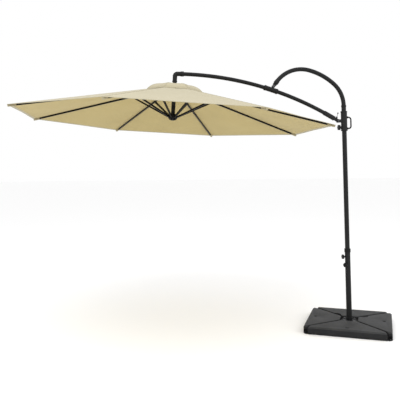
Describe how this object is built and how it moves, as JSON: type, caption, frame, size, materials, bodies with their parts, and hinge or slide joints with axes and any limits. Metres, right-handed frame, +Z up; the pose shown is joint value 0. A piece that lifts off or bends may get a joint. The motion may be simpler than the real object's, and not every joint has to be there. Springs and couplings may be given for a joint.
{
  "type": "cantilever patio umbrella",
  "caption": "Cantilever patio umbrella: folding octagonal canopy hung from a curved arm on a sliding sleeve, over a swivelling mast in a cross base under ballast slabs.",
  "frame": {"origin": "on the floor, at the mast axis, on the underside of the cross base", "axes": "+Z up along the mast, the arm and canopy reach towards -X, Y across"},
  "size_m": [3.5826, 2.7716, 2.5118],
  "materials": {
    "graphite_metal": "satin",
    "slab_plastic": "matte",
    "black_plastic": "matte",
    "knob_plastic": "satin",
    "joint_plastic": "satin",
    "zinc_hardware": "satin",
    "rib_steel": "satin",
    "canopy_cloth": "matte"
  },
  "bodies": {
    "base": {"cross_base": "graphite_metal", "cross_end_caps": "black_plastic", "weight_slab_1": "slab_plastic", "weight_slab_2": "slab_plastic", "weight_slab_3": "slab_plastic", "weight_slab_4": "slab_plastic", "slab_caps": "black_plastic", "lower_pole": "graphite_metal", "flange_bolts": "zinc_hardware", "pole_collar": "black_plastic"},
    "knob_upper": {"clamp_knob_upper": "knob_plastic"},
    "knob_lower": {"clamp_knob_lower": "knob_plastic"},
    "mast": {"upper_mast": "graphite_metal", "mast_ferrule": "black_plastic", "mast_arch": "graphite_metal", "arch_fork": "joint_plastic"},
    "slider": {"slider_housing": "joint_plastic", "slider_bushes": "black_plastic", "d_handle": "joint_plastic", "handle_screws": "zinc_hardware", "arm_pivot_pin": "zinc_hardware"},
    "lock_knob": {"slider_knob": "knob_plastic"},
    "lever": {"lock_lever": "knob_plastic"},
    "arm": {"arm_tube": "graphite_metal", "arm_tail_socket": "joint_plastic", "elbow": "joint_plastic", "center_post": "graphite_metal", "crown_hub": "black_plastic", "crown_pins": "zinc_hardware", "crown_flange": "black_plastic"},
    "sleeve": {"arm_sleeve": "joint_plastic", "sleeve_pin": "zinc_hardware"},
    "runner": {"lower_hub": "black_plastic", "hub_cap": "black_plastic"},
    "canopy_rib_1": {"rib_1": "rib_steel", "canopy_panel_1": "canopy_cloth"},
    "canopy_strut_1": {"strut_1": "rib_steel"},
    "canopy_rib_2": {"rib_2": "rib_steel", "canopy_panel_2": "canopy_cloth"},
    "canopy_strut_2": {"strut_2": "rib_steel"},
    "canopy_rib_3": {"rib_3": "rib_steel", "canopy_panel_3": "canopy_cloth"},
    "canopy_strut_3": {"strut_3": "rib_steel"},
    "canopy_rib_4": {"rib_4": "rib_steel", "canopy_panel_4": "canopy_cloth"},
    "canopy_strut_4": {"strut_4": "rib_steel"},
    "canopy_rib_5": {"rib_5": "rib_steel", "canopy_panel_5": "canopy_cloth"},
    "canopy_strut_5": {"strut_5": "rib_steel"},
    "canopy_rib_6": {"rib_6": "rib_steel", "canopy_panel_6": "canopy_cloth"},
    "canopy_strut_6": {"strut_6": "rib_steel"},
    "canopy_rib_7": {"rib_7": "rib_steel", "canopy_panel_7": "canopy_cloth"},
    "canopy_strut_7": {"strut_7": "rib_steel"},
    "canopy_rib_8": {"rib_8": "rib_steel", "canopy_panel_8": "canopy_cloth"},
    "canopy_strut_8": {"strut_8": "rib_steel"}
  },
  "joints": [
    {"name": "mast_swivel", "type": "hinge", "parent": "base", "child": "mast", "pos_m": [0, 0, 0.7], "axis": [0, 0, 1], "continuous": true},
    {"name": "knob_upper_turn", "type": "hinge", "parent": "base", "child": "knob_upper", "pos_m": [-0.03, 0, 0.66], "axis": [-1, 0, 0], "range_deg": [0, 720]},
    {"name": "knob_lower_turn", "type": "hinge", "parent": "base", "child": "knob_lower", "pos_m": [-0.02396, -0.01805, 0.584], "axis": [-0.7986, -0.6018, 0], "range_deg": [0, 720]},
    {"name": "slider_slide", "type": "slide", "parent": "mast", "child": "slider", "axis": [0, 0, -1], "range_m": [0, 0.2]},
    {"name": "lock_knob_turn", "type": "hinge", "parent": "slider", "child": "lock_knob", "pos_m": [-0.03, 0, 1.917], "axis": [-1, 0, 0], "range_deg": [0, 720]},
    {"name": "lever_pull", "type": "hinge", "parent": "arm", "child": "lever", "pos_m": [-0.074, 0, 2.018], "axis": [0, 1, 0], "range_deg": [-28, 0], "stiffness_Nm_per_rad": 0.6},
    {"name": "arm_tilt", "type": "hinge", "parent": "slider", "child": "arm", "pos_m": [-0.062, 0, 1.98202], "axis": [0, 1, 0], "range_deg": [0, 13.7]},
    {"name": "sleeve_slide", "type": "hinge", "parent": "arm", "child": "sleeve", "pos_m": [-1.655, 0, -0.64], "axis": [0, 1, 0], "range_deg": [-2.1, 0]},
    {"name": "canopy_fold", "type": "slide", "parent": "arm", "child": "runner", "axis": [-0.0588, 0, -0.9983], "range_m": [0, 0.5498]},
    {"name": "rib_1_fold", "type": "hinge", "parent": "arm", "child": "canopy_rib_1", "pos_m": [-1.63437, 0.01684, 2.29005], "axis": [-0.382, 0.9239, 0.0225], "range_deg": [0, 71.2], "deforming": ["canopy_panel_1"]},
    {"name": "strut_1_fold", "type": "hinge", "parent": "canopy_rib_1", "child": "canopy_strut_1", "pos_m": [-1.28356, 0.16456, 2.18083], "axis": [-0.382, 0.9239, 0.0225], "range_deg": [-128.3, 0]},
    {"name": "rib_2_fold", "type": "hinge", "parent": "arm", "child": "canopy_rib_2", "pos_m": [-1.65815, 0.04065, 2.29145], "axis": [-0.9223, 0.3827, 0.0543], "range_deg": [0, 71.2], "deforming": ["canopy_panel_2"]},
    {"name": "strut_2_fold", "type": "hinge", "parent": "canopy_rib_2", "child": "canopy_strut_2", "pos_m": [-1.51588, 0.39727, 2.19451], "axis": [-0.9223, 0.3827, 0.0543], "range_deg": [-128.3, 0]},
    {"name": "rib_3_fold", "type": "hinge", "parent": "arm", "child": "canopy_rib_3", "pos_m": [-1.69176, 0.04065, 2.29343], "axis": [-0.9223, -0.3827, 0.0543], "range_deg": [0, 71.2], "deforming": ["canopy_panel_3"]},
    {"name": "strut_3_fold", "type": "hinge", "parent": "canopy_rib_3", "child": "canopy_strut_3", "pos_m": [-1.84442, 0.39727, 2.21386], "axis": [-0.9223, -0.3827, 0.0543], "range_deg": [-128.3, 0]},
    {"name": "rib_4_fold", "type": "hinge", "parent": "arm", "child": "canopy_rib_4", "pos_m": [-1.71553, 0.01684, 2.29483], "axis": [-0.382, -0.9239, 0.0225], "range_deg": [0, 71.2], "deforming": ["canopy_panel_4"]},
    {"name": "strut_4_fold", "type": "hinge", "parent": "canopy_rib_4", "child": "canopy_strut_4", "pos_m": [-2.07674, 0.16456, 2.22754], "axis": [-0.382, -0.9239, 0.0225], "range_deg": [-128.3, 0]},
    {"name": "rib_5_fold", "type": "hinge", "parent": "arm", "child": "canopy_rib_5", "pos_m": [-1.71553, -0.01684, 2.29483], "axis": [0.382, -0.9239, -0.0225], "range_deg": [0, 71.2], "deforming": ["canopy_panel_5"]},
    {"name": "strut_5_fold", "type": "hinge", "parent": "canopy_rib_5", "child": "canopy_strut_5", "pos_m": [-2.07674, -0.16456, 2.22754], "axis": [0.382, -0.9239, -0.0225], "range_deg": [-128.3, 0]},
    {"name": "rib_6_fold", "type": "hinge", "parent": "arm", "child": "canopy_rib_6", "pos_m": [-1.69176, -0.04065, 2.29343], "axis": [0.9223, -0.3827, -0.0543], "range_deg": [0, 71.2], "deforming": ["canopy_panel_6"]},
    {"name": "strut_6_fold", "type": "hinge", "parent": "canopy_rib_6", "child": "canopy_strut_6", "pos_m": [-1.84442, -0.39727, 2.21386], "axis": [0.9223, -0.3827, -0.0543], "range_deg": [-128.3, 0]},
    {"name": "rib_7_fold", "type": "hinge", "parent": "arm", "child": "canopy_rib_7", "pos_m": [-1.65815, -0.04065, 2.29145], "axis": [0.9223, 0.3827, -0.0543], "range_deg": [0, 71.2], "deforming": ["canopy_panel_7"]},
    {"name": "strut_7_fold", "type": "hinge", "parent": "canopy_rib_7", "child": "canopy_strut_7", "pos_m": [-1.51588, -0.39727, 2.19451], "axis": [0.9223, 0.3827, -0.0543], "range_deg": [-128.3, 0]},
    {"name": "rib_8_fold", "type": "hinge", "parent": "arm", "child": "canopy_rib_8", "pos_m": [-1.63437, -0.01684, 2.29005], "axis": [0.382, 0.9239, -0.0225], "range_deg": [0, 71.2], "deforming": ["canopy_panel_8"]},
    {"name": "strut_8_fold", "type": "hinge", "parent": "canopy_rib_8", "child": "canopy_strut_8", "pos_m": [-1.28356, -0.16456, 2.18083], "axis": [0.382, 0.9239, -0.0225], "range_deg": [-128.3, 0]}
  ],
  "couplings": [
    {"joint": "arm_tilt", "follows": "slider_slide", "rad_per_m": 1.1905},
    {"joint": "sleeve_slide", "follows": "slider_slide", "rad_per_m": -0.18182},
    {"joint": "rib_1_fold", "follows": "canopy_fold", "rad_per_m": 2.2569},
    {"joint": "strut_1_fold", "follows": "canopy_fold", "rad_per_m": -4.0688},
    {"joint": "rib_2_fold", "follows": "canopy_fold", "rad_per_m": 2.2569},
    {"joint": "strut_2_fold", "follows": "canopy_fold", "rad_per_m": -4.0688},
    {"joint": "rib_3_fold", "follows": "canopy_fold", "rad_per_m": 2.2569},
    {"joint": "strut_3_fold", "follows": "canopy_fold", "rad_per_m": -4.0688},
    {"joint": "rib_4_fold", "follows": "canopy_fold", "rad_per_m": 2.2569},
    {"joint": "strut_4_fold", "follows": "canopy_fold", "rad_per_m": -4.0688},
    {"joint": "rib_5_fold", "follows": "canopy_fold", "rad_per_m": 2.2569},
    {"joint": "strut_5_fold", "follows": "canopy_fold", "rad_per_m": -4.0688},
    {"joint": "rib_6_fold", "follows": "canopy_fold", "rad_per_m": 2.2569},
    {"joint": "strut_6_fold", "follows": "canopy_fold", "rad_per_m": -4.0688},
    {"joint": "rib_7_fold", "follows": "canopy_fold", "rad_per_m": 2.2569},
    {"joint": "strut_7_fold", "follows": "canopy_fold", "rad_per_m": -4.0688},
    {"joint": "rib_8_fold", "follows": "canopy_fold", "rad_per_m": 2.2569},
    {"joint": "strut_8_fold", "follows": "canopy_fold", "rad_per_m": -4.0688}
  ]
}
